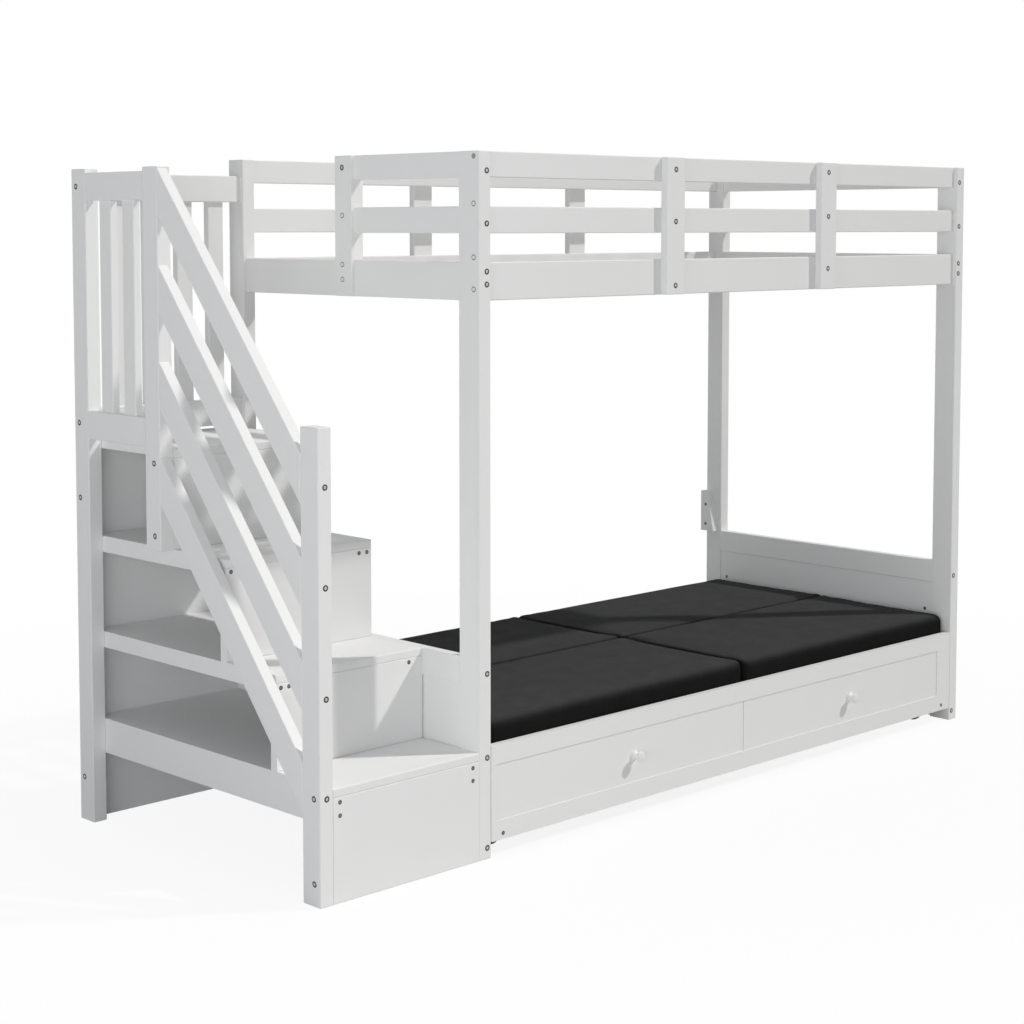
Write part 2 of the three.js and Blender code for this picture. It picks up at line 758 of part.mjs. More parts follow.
// Crowned cushion: rings from the middle of the underside up to the middle of the top
function cushionGeometry() {
  const half = cushionWidth / 2;
  const levels = [];
  const flatInset = half - cushionEdge;
  levels.push([half - cushionCorner, 0]);
  for (let k = 0; k <= cushionEdgeSteps; k++) {
    const angle = (k / cushionEdgeSteps) * Math.PI / 2;
    levels.push([cushionEdge * (1 - Math.sin(angle)), cushionEdge * (1 - Math.cos(angle))]);
  }
  const shoulder = cushionThickness - cushionEdge;
  for (let k = 0; k <= cushionEdgeSteps; k++) {
    const angle = (k / cushionEdgeSteps) * Math.PI / 2;
    levels.push([cushionEdge * (1 - Math.cos(angle)), shoulder + cushionEdge * Math.sin(angle)]);
  }
  for (let k = 1; k <= cushionCrownSteps; k++) {
    const t = k / cushionCrownSteps;
    const inset = cushionEdge + (half - cushionCorner - cushionEdge) * t;
    const rise = cushionCrown * (1 - (1 - (inset - cushionEdge) / flatInset) ** 2);
    levels.push([inset, cushionThickness + rise]);
  }
  const positions = [];
  const index = [];
  const rings = levels.map(([inset]) => cushionRing(inset));
  const count = rings[0].length;
  rings.forEach((ring, level) => ring.forEach(([x, y]) => positions.push(x, y, levels[level][1])));
  for (let level = 0; level < levels.length - 1; level++) {
    for (let k = 0; k < count; k++) {
      const a = level * count + k;
      const b = level * count + (k + 1) % count;
      index.push(a, b, b + count, a, b + count, a + count);
    }
  }
  const bottomMiddle = positions.length / 3;
  positions.push(0, 0, levels[0][1]);
  positions.push(0, 0, levels[levels.length - 1][1]);
  const last = (levels.length - 1) * count;
  for (let k = 0; k < count; k++) {
    const next = (k + 1) % count;
    index.push(bottomMiddle, next, k);
    index.push(bottomMiddle + 1, last + k, last + next);
  }
  const geometry = new THREE.BufferGeometry();
  geometry.setAttribute('position', new THREE.Float32BufferAttribute(positions, 3));
  geometry.setIndex(index);
  return geometry;
}

// Four cushions that lie two by two on the deck
function cushions() {
  const base = baseTop + deckThickness + seatGap;
  const frontRow = frontThickness + cushionFrontGap + cushionWidth / 2;
  ['front', 'back'].forEach((row, i) => {
    ['left', 'right'].forEach((side, j) => {
      const x = bedMiddle + cushionShift + (j - 0.5) * (cushionLength + cushionJoint);
      const y = frontRow + i * (cushionWidth + cushionJoint);
      place(`cushion_${row}_${side}`, fabric, cushionGeometry(), [x, y, base]);
    });
  });
}

bedPosts();
longRails();
endRails();
gatePost();
guardBoards();
slatDeck();
endPanels();
wallBlock();
stairPosts();
slantingBars();
landingSideGuard();
landingBackGuard();
treads();
landing();
risers();
stairBackPanel();
const frontJoint = pulloutFront();
knobs();
casters(pulloutBase(frontJoint));
cushions();

// The origin lies on the floor below the middle of the whole object
bed.position.set(onGrid(-bedRight / 2), onGrid(-(frontMost + backMost) / 2), 0);
const model = new THREE.Group();
model.add(bed);

export default model;
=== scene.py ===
import math

import bmesh
import bpy
from mathutils import Matrix, Vector


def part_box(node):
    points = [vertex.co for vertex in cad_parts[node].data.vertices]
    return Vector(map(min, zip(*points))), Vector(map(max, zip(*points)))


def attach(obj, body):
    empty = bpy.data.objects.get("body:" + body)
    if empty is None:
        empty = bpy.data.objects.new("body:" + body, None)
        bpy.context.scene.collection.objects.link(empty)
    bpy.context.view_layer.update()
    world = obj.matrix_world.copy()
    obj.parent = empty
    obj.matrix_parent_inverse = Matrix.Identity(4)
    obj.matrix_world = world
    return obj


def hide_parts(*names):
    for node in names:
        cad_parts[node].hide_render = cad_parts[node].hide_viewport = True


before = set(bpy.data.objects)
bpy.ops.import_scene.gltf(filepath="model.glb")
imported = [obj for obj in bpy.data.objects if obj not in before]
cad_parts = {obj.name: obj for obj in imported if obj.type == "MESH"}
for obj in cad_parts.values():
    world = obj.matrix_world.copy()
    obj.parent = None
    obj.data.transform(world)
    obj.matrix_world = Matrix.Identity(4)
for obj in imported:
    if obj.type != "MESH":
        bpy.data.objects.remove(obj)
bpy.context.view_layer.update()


# Camera. It stands to the left of the bed and looks over the stair along the front,
# a little above the height of the upper mattress, as the photograph was taken.
image_side = 1024
focal_pixels = 2018.6
sensor_width = 36.0
axis_row = 370.7
eye = Vector((-3.9518, -3.8576, 1.4908))
heading = 0.7977
tilt = -0.0715
view_depth = 60

camera_data = bpy.data.cameras.new("camera")
camera_data.sensor_width = sensor_width
camera_data.lens = sensor_width * focal_pixels / image_side
camera_data.shift_y = (axis_row - image_side / 2) / image_side
camera_data.clip_end = view_depth
camera = bpy.data.objects.new("camera", camera_data)
camera.location = eye
camera.rotation_euler = (math.pi / 2 + tilt, 0, heading - math.pi / 2)
bpy.context.scene.collection.objects.link(camera)
bpy.context.scene.camera = camera


# Studio. A sun from the right front throws the shadows, one broad soft lamp fills the left side
# and another hangs overhead, and a pale sky and floor give the rest. Eyes and gloss see plain white.
bpy.context.scene.view_settings.view_transform = "Standard"


class Tone:
    """What varies over a surface. Sums and products of it add Math nodes."""

    def __init__(self, socket):
        self.socket = socket

    def node(self, kind, settings=None, inputs=None, output=0):
        """The output of a new node; its settings come first, then values or links for its sockets."""
        made = self.socket.id_data.nodes.new(kind)
        for name, value in (settings or {}).items():
            setattr(made, name, value)
        for name, value in (inputs or {}).items():
            if isinstance(value, Tone):
                self.socket.id_data.links.new(value.socket, made.inputs[name])
            else:
                made.inputs[name].default_value = value
        return Tone(made.outputs[output])

    def math(self, operation, first, second=0.0):
        return self.node("ShaderNodeMath", {"operation": operation}, {0: first, 1: second})

    def __add__(self, other):
        return self.math("ADD", self, other)

    def __radd__(self, other):
        return self.math("ADD", other, self)

    def __sub__(self, other):
        return self.math("SUBTRACT", self, other)

    def __rsub__(self, other):
        return self.math("SUBTRACT", other, self)

    def __mul__(self, other):
        return self.math("MULTIPLY", self, other)

    def __rmul__(self, other):
        return self.math("MULTIPLY", other, self)

    def __gt__(self, other):
        return self.math("GREATER_THAN", self, other)

    def __lt__(self, other):
        return self.math("LESS_THAN", self, other)

    def sine(self):
        return self.math("SINE", self)

    def max(self, other):
        return self.math("MAXIMUM", self, other)

    def min(self, other):
        return self.math("MINIMUM", self, other)

    def noise(self, scale, detail, roughness=0.5):
        return self.node("ShaderNodeTexNoise", None,
                         {"Vector": self, "Scale": scale, "Detail": detail, "Roughness": roughness})

    def stretched(self, factors):
        return self.node("ShaderNodeVectorMath", {"operation": "MULTIPLY"}, {0: self, 1: factors})

    def axis(self, number):
        return self.node("ShaderNodeSeparateXYZ", None, {0: self}, number)

    def mixed(self, low, high):
        """A colour between two, by this amount."""
        return self.node("ShaderNodeMix", {"data_type": "RGBA"}, {0: self, 6: low, 7: high}, 2)

    def bump(self, distance, strength):
        return self.node("ShaderNodeBump", None,
                         {"Height": self, "Distance": distance, "Strength": strength})


def seen_plainly(tree):
    """One for the rays that should meet plain white: the camera's, and those off gloss or glass."""
    eye_ray = Tone(tree.nodes.new("ShaderNodeLightPath").outputs["Is Camera Ray"])
    rays = eye_ray.socket.node.outputs
    return eye_ray.max(Tone(rays["Is Glossy Ray"])).max(Tone(rays["Is Transmission Ray"]))


sky_white = (1.0, 1.0, 1.0, 1.0)
sky_light = (0.945, 0.97, 1.0, 1.0)
sky_strength = 0.275
world = bpy.data.worlds.new("studio")
world.use_nodes = True
bpy.context.scene.world = world
world_tree = world.node_tree
world_tree.nodes.clear()
world_out = world_tree.nodes.new("ShaderNodeOutputWorld")
seen = seen_plainly(world_tree)
light = seen.node("ShaderNodeBackground", None, {"Color": sky_light, "Strength": sky_strength})
white = seen.node("ShaderNodeBackground", None, {"Color": sky_white, "Strength": 1.0})
sky = seen.node("ShaderNodeMixShader", None, {0: seen, 1: light, 2: white})
world_tree.links.new(sky.socket, world_out.inputs["Surface"])

sun_travel = Vector((-1.0, 0.72, -1.2))
sun_strength = 1.87
sun_spread = 2.2
sun_warmth = (1.0, 0.983, 0.952)
sun_data = bpy.data.lights.new("sun", "SUN")
sun_data.energy = sun_strength
sun_data.angle = math.radians(sun_spread)
sun_data.color = sun_warmth
sun = bpy.data.objects.new("sun", sun_data)
sun.rotation_euler = sun_travel.to_track_quat("-Z", "Y").to_euler()
bpy.context.scene.collection.objects.link(sun)


def soft_lamp(name, place, size, power):
    """A broad lamp that shines down until it is turned, and that isn't seen itself."""
    data = bpy.data.lights.new(name, "AREA")
    data.shape = "RECTANGLE"
    data.size, data.size_y = size
    data.energy = power
    lamp = bpy.data.objects.new(name, data)
    lamp.location = place
    lamp.visible_camera = False
    lamp.visible_glossy = False
    bpy.context.scene.collection.objects.link(lamp)
    return lamp


fill_place = Vector((-6.0, -3.5, 1.1))
fill_aim = Vector((0, 0, 0.8))
fill_size = (5.0, 3.0)
fill_power = 150
fill_coolness = (0.975, 0.988, 1.0)
fill = soft_lamp("fill", fill_place, fill_size, fill_power)
fill.data.color = fill_coolness
fill.rotation_euler = (fill_aim - fill_place).to_track_quat("-Z", "Y").to_euler()
overhead_place = Vector((0, 0, 4.6))
overhead_size = (5.0, 4.0)
overhead_power = 26
soft_lamp("overhead", overhead_place, overhead_size, overhead_power)

floor_half = 30.0
floor_glow = 0.85
floor_fade = 0.05
floor_tone = (0.62, 0.62, 0.62, 1)
floor_seen_tone = (0.95, 0.95, 0.95, 1)
floor_mesh = bpy.data.meshes.new("floor")
bm = bmesh.new()
bmesh.ops.create_grid(bm, x_segments=1, y_segments=1, size=floor_half)
bm.to_mesh(floor_mesh)
bm.free()
floor = bpy.data.objects.new("floor", floor_mesh)
bpy.context.scene.collection.objects.link(floor)
floor_finish = bpy.data.materials.new("floor_white")
floor_finish.use_nodes = True
floor_tree = floor_finish.node_tree
floor_tree.nodes.clear()
floor_out = floor_tree.nodes.new("ShaderNodeOutputMaterial")
seen = seen_plainly(floor_tree)
matte = seen.node("ShaderNodeBsdfDiffuse", None, {"Color": floor_tone})
pale = seen.node("ShaderNodeBsdfDiffuse", None, {"Color": floor_seen_tone})
glow = seen.node("ShaderNodeEmission", None, {"Color": sky_white, "Strength": 1.0})
spot = Tone(floor_tree.nodes.new("ShaderNodeTexCoord").outputs["Object"])
far = spot.node("ShaderNodeVectorMath", {"operation": "LENGTH"}, {0: spot}, 1)
bright = seen.node("ShaderNodeMixShader", None,
                   {0: (far * floor_fade + floor_glow).min(1.0), 1: pale, 2: glow})
floor_shade = seen.node("ShaderNodeMixShader", None, {0: seen, 1: matte, 2: bright})
floor_tree.links.new(floor_shade.socket, floor_out.inputs["Surface"])
floor_mesh.materials.append(floor_finish)


# White lacquer. Every post, rail and board is sanded timber under a sprayed satin coat,
# which lets the grain through as a faint ripple along the board.
def new_finish(name, roughness, metallic=0.0):
    """A material with its Principled shader, and the place on the piece as a Tone."""
    material = bpy.data.materials.new(name)
    material.use_nodes = True
    shader = material.node_tree.nodes["Principled BSDF"]
    shader.inputs["Roughness"].default_value = roughness
    shader.inputs["Metallic"].default_value = metallic
    where = material.node_tree.nodes.new("ShaderNodeTexCoord").outputs["Object"]
    return material, shader, Tone(where)


def feed(shader, socket, tone):
    shader.id_data.links.new(tone.socket, shader.inputs[socket])


white_coat = (0.865, 0.865, 0.862, 1)
coat_dulling = (0.96, 0.96, 0.962)
patches_per_metre = 3.1
mottles_per_metre = 38.0
ripples_along = 2.6
ripples_across = 70.0
peel_per_metre = 900.0
timber_ripple = 0.00012
coat_roughness = 0.57
ripple_strength = 0.55


def lacquer(name, along, bright=white_coat, ripple=timber_ripple):
    """White coat over timber whose grain runs along axis 0, 1 or 2."""
    dull = (*(tone * share for tone, share in zip(bright, coat_dulling)), 1)
    grain_stretch = [ripples_across] * 3
    grain_stretch[along] = ripples_along
    material, shader, where = new_finish(name, 0.62)
    broad = where.noise(patches_per_metre, 3.0)
    mottle = where.noise(mottles_per_metre, 2.0)
    grain = where.stretched(grain_stretch).noise(1.0, 4.0, 0.6)
    peel = where.noise(peel_per_metre, 1.0)
    colour = (broad * 0.55 + mottle * 0.15 + grain * 0.30).mixed(dull, bright)
    feed(shader, "Base Color", colour)
    feed(shader, "Roughness", coat_roughness + broad * 0.09 + grain * 0.06)
    feed(shader, "Normal", (grain + peel * 0.25).bump(ripple, ripple_strength))
    return material


lacquer_x = lacquer("white_lacquer_grain_x", 0)
lacquer_y = lacquer("white_lacquer_grain_y", 1)
lacquer_z = lacquer("white_lacquer_grain_z", 2)


def finish_node(name, material):
    """Gives a carried-over node its finish in place of the plain one."""
    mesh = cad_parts[name].data
    mesh.materials.clear()
    mesh.materials.append(material)


uprights = ["bed_post_front_left", "bed_post_front_right", "bed_post_back_left",
            "bed_post_back_right", "front_guard_board_1", "front_guard_board_2",
            "back_guard_board_1", "back_guard_board_2", "wall_block",
            "stair_post_front", "stair_post_mid", "stair_post_rear"]
for name in uprights:
    finish_node(name, lacquer_z)
for name in ("front_top_rail", "front_mid_rail", "front_side_rail", "back_top_rail",
             "back_mid_rail", "back_side_rail"):
    finish_node(name, lacquer_x)
for name in ("left_top_rail", "left_mid_rail", "left_low_rail", "right_top_rail",
             "right_mid_rail", "right_low_rail", "landing_side_guard"):
    finish_node(name, lacquer_y)
finish_node("landing_back_guard", lacquer_z)


# Sawn pieces with eased edges: the slanting bars, the gate post and the framed end panels.
# Their long edges are broken with a small round before they are lacquered.
bar_ease = 0.0022
panel_ease = 0.0012
node_weld = 1e-5
flat_turn = math.radians(1)
sharp_turn = math.radians(25)


def piece_from_node(name, node, ease, segments=2):
    """A merged copy of a node with its sharp edges rounded by a bevel."""
    bm = bmesh.new()
    bm.from_mesh(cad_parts[node].data)
    bmesh.ops.remove_doubles(bm, verts=bm.verts, dist=node_weld)
    bmesh.ops.dissolve_limit(bm, angle_limit=flat_turn, verts=bm.verts, edges=bm.edges)
    sharp = [edge for edge in bm.edges if edge.calc_face_angle(0) > sharp_turn]
    bmesh.ops.bevel(bm, geom=sharp, offset=ease, offset_type="OFFSET", affect="EDGES",
                    segments=segments, profile=0.5, material=-1)
    return new_piece(name, bm)


def new_piece(name, bm, smooth=False):
    """A finished bmesh as an object at the origin."""
    mesh = bpy.data.meshes.new(name)
    bm.to_mesh(mesh)
    bm.free()
    if smooth:
        mesh.shade_smooth()
    piece = bpy.data.objects.new(name, mesh)
    bpy.context.scene.collection.objects.link(piece)
    return piece


def fit(piece, material, slot, body, *nodes):
    """Finish, body and the nodes that a piece stands for; the slot is not used."""
    piece.data.materials.append(material)
    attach(piece, body)
    if nodes:
        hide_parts(*nodes)


for number in (1, 2, 3, 4):
    node = f"slanting_bar_{number}"
    bar = piece_from_node(f"{node}_eased", node, bar_ease)
    fit(bar, lacquer_y, "white_paint", "loft", node)
for node, grain in (("gate_post", lacquer_z), ("end_panel_left", lacquer_y),
                    ("end_panel_right", lacquer_y)):
    fit(piece_from_node(f"{node}_eased", node, panel_ease), grain, "white_paint", "loft", node)


# Steps. Each board runs back as a shelf over two bearers, with a riser under its front edge,
# and a thin panel closes the back.
for number in (1, 2, 3):
    finish_node(f"tread_{number}", lacquer_x)
for number in (1, 2, 3, 4):
    finish_node(f"riser_{number}", lacquer_x)
finish_node("landing_board", lacquer_x)
board_coat = (0.80, 0.80, 0.80, 1)
board_ripple = 0.00003
thin_panel = lacquer("white_panel_board", 2, board_coat, board_ripple)
finish_node("stair_back_panel", thin_panel)


# Mattress base. Fourteen planed slats with a thin white coat rest on the ledgers behind the
# side rails. Two woven straps, stapled under every slat, keep them apart.
slat_count = 14
slat_width = 0.070
slat_thickness = 0.015
slat_ease = 0.0016
strap_width = 0.024
strap_inset = 0.190
strap_end = 0.024
strap_thickness = 0.0011
strap_sag = 0.0012
strap_gap = 0.0002
warp_pitch = 0.0030
weft_pitch = 0.0024
strap_steps = 8
staple_width = 0.011
staple_wire = 0.0007
ring_stretch = (55.0, 1.6, 140.0)
pore_stretch = (900.0, 22.0, 900.0)
knot_stretch = (14.0, 5.0, 14.0)
knot_level = 0.735
knot_tone = (0.62, 0.56, 0.47, 1)
slat_tones = ((0.74, 0.73, 0.69, 1), (0.86, 0.86, 0.84, 1))
slat_relief = (0.0002, 0.5)
fuzz_per_metre = 1500.0
strap_tones = ((0.66, 0.63, 0.57, 1), (0.80, 0.78, 0.72, 1))
strap_relief = (0.0004, 0.7)
spangles_per_metre = 420.0
stains_per_metre = 55.0
zinc_tones = ((0.47, 0.47, 0.48, 1), (0.66, 0.66, 0.66, 1))
slat_low, slat_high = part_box("slat_deck")
slat_pitch = (slat_high.x - slat_low.x - slat_width) / (slat_count - 1)
slat_under = slat_high.z - slat_thickness
strap_rows = (slat_low.y + strap_inset, slat_high.y - strap_inset - strap_width)


def add_block(bm, low, high):
    """A squared block between two corners; returns its edges."""
    made = bmesh.ops.create_cube(bm, size=1.0)["verts"]
    size = Matrix.Diagonal((high - low).to_4d())
    bmesh.ops.transform(bm, matrix=Matrix.Translation((low + high) / 2) @ size, verts=made)
    return list({edge for vert in made for edge in vert.link_edges})


bm = bmesh.new()
for number in range(slat_count):
    left = slat_low.x + number * slat_pitch
    edges = add_block(bm, Vector((left, slat_low.y, slat_under)),
                      Vector((left + slat_width, slat_high.y, slat_high.z)))
    bmesh.ops.bevel(bm, geom=edges, offset=slat_ease, offset_type="OFFSET", affect="EDGES",
                    segments=2, profile=0.5, material=-1)
slats = new_piece("slats", bm)

slat_coat, shader, where = new_finish("thin_white_coat", 0.52)
slat_number = where.node("ShaderNodeMath", {"operation": "FLOOR"},
                         {0: (where.axis(0) - slat_low.x) * (1 / slat_pitch)})
board_tone = slat_number.node("ShaderNodeTexWhiteNoise", {"noise_dimensions": "1D"},
                              {"W": slat_number})
rings = where.stretched(ring_stretch).noise(1.0, 3.0, 0.55)
pores = where.stretched(pore_stretch).noise(1.0, 2.0)
coat = (rings * 0.50 + pores * 0.18 + board_tone * 0.32).mixed(*slat_tones)
knots = where.stretched(knot_stretch).noise(1.0, 1.0) > knot_level
feed(shader, "Base Color", (knots * 0.5).mixed(coat, knot_tone))
feed(shader, "Roughness", 0.46 + rings * 0.14)
feed(shader, "Normal", (rings * 0.5 + pores * 0.5).bump(*slat_relief))
fit(slats, slat_coat, "slats", "loft", "slat_deck")

bm = bmesh.new()
strap_length = slat_high.x - slat_low.x - 2 * strap_end
for near in strap_rows:
    made = bmesh.ops.create_grid(bm, x_segments=slat_count * strap_steps, y_segments=1,
                                 size=0.5)["verts"]
    for vert in made:
        vert.co = Vector((slat_low.x + strap_end + (vert.co.x + 0.5) * strap_length,
                          near + (vert.co.y + 0.5) * strap_width, slat_under - strap_gap))
        share = (vert.co.x - slat_low.x) % slat_pitch
        if share > slat_width:
            gap = (share - slat_width) / (slat_pitch - slat_width)
            vert.co.z -= strap_sag * math.sin(math.pi * gap)
straps = new_piece("slat_straps", bm)
thickness = straps.modifiers.new("thickness", "SOLIDIFY")
thickness.thickness = strap_thickness
thickness.offset = -1

webbing, shader, where = new_finish("woven_strap", 0.86)
warp = (where.axis(1) * (math.tau / warp_pitch)).sine()
weft = (where.axis(0) * (math.tau / weft_pitch)).sine()
weave = warp * weft
fuzz = where.noise(fuzz_per_metre, 1.0)
feed(shader, "Base Color", (weave * 0.35 + fuzz * 0.3 + 0.35).mixed(*strap_tones))
feed(shader, "Roughness", 0.80 + fuzz * 0.12)
feed(shader, "Normal", weave.bump(*strap_relief))
fit(straps, webbing, "slats", "loft")

bm = bmesh.new()
for number in range(slat_count):
    for near in strap_rows:
        middle = Vector((slat_low.x + number * slat_pitch + slat_width / 2, near + strap_width / 2,
                         slat_under - strap_thickness - staple_wire))
        half = Vector((staple_width / 2, staple_wire / 2, staple_wire / 2))
        add_block(bm, middle - half, middle + half)
staples = new_piece("strap_staples", bm)

zinc, shader, where = new_finish("zinc_plate", 0.34, 1.0)
spangle = where.node("ShaderNodeTexVoronoi", None, {"Vector": where, "Scale": spangles_per_metre}, 1)
stain = where.noise(stains_per_metre, 3.0)
feed(shader, "Base Color", stain.mixed(*zinc_tones))
feed(shader, "Roughness", 0.26 + stain * 0.14 + spangle.axis(0) * 0.05)
fit(staples, zinc, "caster_steel", "loft")


# Rolling bed's front, base and deck. The front is a flat lacquered frame round two thin panels,
# dowelled to a base of coated boards, and the deck is screwed down over them.
finish_node("pullout_front", lacquer_x)
coated_board = lacquer("coated_board", 0, board_coat, board_ripple)
for name in ("pullout_base", "pullout_deck"):
    finish_node(name, coated_board)


# Knobs. Turned beech, lacquered with the front: a flared foot, a waist and a thin flat head.
# Each is screwed on from behind its panel.
weld = 1e-6
knob_steps = 48
knob_profile = [(0, 0.0), (0.90, 0.0), (0.925, 0.03), (0.925, 0.09), (0.87, 0.14), (0.66, 0.24),
                (0.545, 0.34), (0.515, 0.45), (0.53, 0.56), (0.66, 0.63), (0.90, 0.68),
                (0.985, 0.72), (1.0, 0.77), (1.0, 0.89), (0.975, 0.95), (0.91, 0.985),
                (0.80, 1.0), (0, 1.0)]


def turn(bm, line, middle, axis, steps):
    """Spins a line of points about an axis into a closed round form."""
    points = [bm.verts.new(point) for point in line]
    edges = [bm.edges.new(pair) for pair in zip(points, points[1:])]
    if line[0] == line[-1]:
        edges.append(bm.edges.new((points[-1], points[0])))
    bmesh.ops.spin(bm, geom=points + edges, cent=middle, axis=axis, angle=math.tau,
                   steps=steps, use_merge=True)


def seal(bm):
    """Welds the points that meet, and turns the faces outward."""
    bmesh.ops.remove_doubles(bm, verts=bm.verts, dist=weld)
    bmesh.ops.recalc_face_normals(bm, faces=bm.faces)


for side in ("left", "right"):
    low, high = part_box(f"pullout_knob_{side}")
    middle = (low + high) / 2
    radius = (high.x - low.x) / 2
    reach = high.y - low.y
    bm = bmesh.new()
    line = [Vector((middle.x + r * radius, high.y - y * reach, middle.z)) for r, y in knob_profile]
    turn(bm, line, middle, (0, 1, 0), knob_steps)
    seal(bm)
    knob = new_piece(f"pullout_knob_{side}_turned", bm, smooth=True)
    fit(knob, lacquer_y, "white_paint", "pullout", f"pullout_knob_{side}")


# Casters. A bracket of pressed zinc-plated sheet is screwed up under the beam, and a black
# rubber tyre moulded on its hub turns on the riveted axle.
corners = ("front_left", "front_right", "back_left", "back_right")
bracket_ease = 0.0005
wheel_steps = 48
wheel_profile = [(0.17, 0.50), (0.24, 0.50), (0.38, 0.50), (0.40, 0.48), (0.40, 0.30), (0.46, 0.25),
                 (0.66, 0.25), (0.72, 0.30), (0.74, 0.40), (0.80, 0.43), (0.90, 0.41),
                 (0.965, 0.34), (0.992, 0.22), (1.0, 0.08)]
dust_per_metre = 90.0
rubber_grains_per_metre = 1400.0
rubber_tones = ((0.018, 0.018, 0.018, 1), (0.048, 0.047, 0.045, 1))
rubber_relief = (0.0001, 0.5)

rubber, shader, where = new_finish("black_rubber", 0.62)
dust = where.noise(dust_per_metre, 3.0)
grain = where.noise(rubber_grains_per_metre, 1.0)
feed(shader, "Base Color", dust.mixed(*rubber_tones))
feed(shader, "Roughness", 0.52 + dust * 0.22)
feed(shader, "Normal", grain.bump(*rubber_relief))
for corner in corners:
    node = f"caster_fork_{corner}"
    bracket = piece_from_node(f"{node}_pressed", node, bracket_ease, 1)
    fit(bracket, zinc, "caster_steel", "pullout", node)
    low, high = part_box(f"caster_wheel_{corner}")
    middle = (low + high) / 2
    radius = (high.z - low.z) / 2
    width = high.x - low.x
    half = [Vector((middle.x + x * width, middle.y, middle.z + r * radius)) for r, x in wheel_profile]
    other = [Vector((2 * middle.x - point.x, point.y, point.z)) for point in reversed(half)]
    bm = bmesh.new()
    turn(bm, half + other + half[:1], middle, (1, 0, 0), wheel_steps)
    seal(bm)
    wheel = new_piece(f"caster_wheel_{corner}_moulded", bm, smooth=True)
    fit(wheel, rubber, "caster_tyre", f"wheel_{corner}", f"caster_wheel_{corner}")


# Cushions. Four foam blocks in tight covers of matte black canvas lie two by two on the deck,
# a little towards its right end. Their outer edges are well rounded, those between the front
# and the back row hardly at all, and a fine cord is sewn into the seam round each underside.
corner_round = 0.014
corner_reach = 0.026
outer_round = 0.024
pair_round = 0.009
row_round = 0.004
lower_round_share = 0.5
corner_power = 4
crown = 0.0042
crown_powers = (6, 4)
draw_in = 0.0022
row_draw_in = 0.0006
draw_in_powers = (12, 6)
cover_voxel = 0.0075
cover_start_in = 0.002
cover_slack = 0.007
cover_travel = 0.0035
flat_below = 0.003
flat_share = 0.35
settle_frames = 20
seam_hold = 1.3
seam_reach = 0.011
seam_radius = 0.0013
seam_in = 0.0044
pad_shift = Vector((0.0025, 0, 0))
seam_step = 0.011
thread = 0.0017
slub_stretch = (60.0, 700.0, 700.0)
lint_per_metre = 16.0
# Painted light and shade: the cover's top is painted lighter and its sides darker, standing in for
# the sheen and shade that light gives the canvas.
top_painted_light_tones = ((0.040, 0.040, 0.041, 1), (0.098, 0.098, 0.099, 1))
side_painted_shade_tones = ((0.008, 0.008, 0.0086, 1), (0.024, 0.024, 0.0247, 1))
canvas_gloss = 0.006
canvas_relief = (0.0004, 0.55)

canvas, shader, where = new_finish("black_canvas", 0.88)
shader.inputs["Specular IOR Level"].default_value = canvas_gloss
facing = where.node("ShaderNodeTexCoord", None, None, 1)
along_x, along_y, along_z = ((where.axis(number) * (math.tau / thread)).sine()
                             for number in (0, 1, 2))
turned_x, turned_y, turned_z = (facing.axis(number) * facing.axis(number) for number in (0, 1, 2))
weave = (turned_z * along_x * along_y + turned_y * along_x * along_z
         + turned_x * along_y * along_z)
slub = where.stretched(slub_stretch).noise(1.0, 2.0)
lint = where.noise(lint_per_metre, 4.0, 0.62)
canvas_tone = weave * 0.16 + slub * 0.34 + lint * 0.42
top_painted_light = canvas_tone.mixed(*top_painted_light_tones)
side_painted_shade = canvas_tone.mixed(*side_painted_shade_tones)
# Painted light and shade: the lighter tones where the cover faces up, the darker ones where it faces
# sideways.
feed(shader, "Base Color", turned_z.mixed(side_painted_shade, top_painted_light))
feed(shader, "Roughness", 0.78 + slub * 0.16)
feed(shader, "Normal", (weave + slub * 0.6).bump(*canvas_relief))


def plain_mesh(piece):
    """A piece's mesh as its modifiers leave it at this frame."""
    ready = piece.evaluated_get(bpy.context.evaluated_depsgraph_get())
    return bpy.data.meshes.new_from_object(ready)


def foam_block(name, low, high, rounds):
    """A block a little smaller than its cushion, in even squares, with rounded edges."""
    low = low + Vector((cover_start_in,) * 3)
    high = high - Vector((cover_start_in, cover_start_in, cover_start_in + crown))
    bm = bmesh.new()
    add_block(bm, low, high)
    block = new_piece(name, bm)
    squares = block.modifiers.new("squares", "REMESH")
    squares.mode = "VOXEL"
    squares.voxel_size = cover_voxel
    mesh = plain_mesh(block)
    block.modifiers.clear()
    block.data = mesh
    for vert in mesh.vertices:
        vert.co = rounded(vert.co, low, high, rounds)
    return block


def rounded(point, low, high, rounds):
    """Where a point of a squared block comes to lie once the block's edges are rounded. The
    rounds are given for the left and right side, and for the front and back side."""
    inner = Vector((min(max(point.x, low.x + corner_reach), high.x - corner_reach),
                    min(max(point.y, low.y + corner_reach), high.y - corner_reach), point.z))
    away = point - inner
    if away.length < weld:
        return point
    far = (away.x ** corner_power + away.y ** corner_power) ** (1 / corner_power)
    inward = max(0.0, corner_reach - far)
    side_share = away.x ** 2 / away.length_squared
    radius = rounds[0][away.x > 0] * side_share + rounds[1][away.y > 0] * (1 - side_share)
    upper = point.z > (low.z + high.z) / 2
    depth = high.z - point.z if upper else point.z - low.z
    if not upper:
        radius *= lower_round_share
    if inward < radius and depth < radius:
        out = radius / math.hypot(radius - inward, radius - depth)
        inward, depth = radius - (radius - inward) * out, radius - (radius - depth) * out
    moved = inner + away * ((corner_reach - inward) / far)
    moved.z = high.z - depth if upper else low.z + depth
    return moved


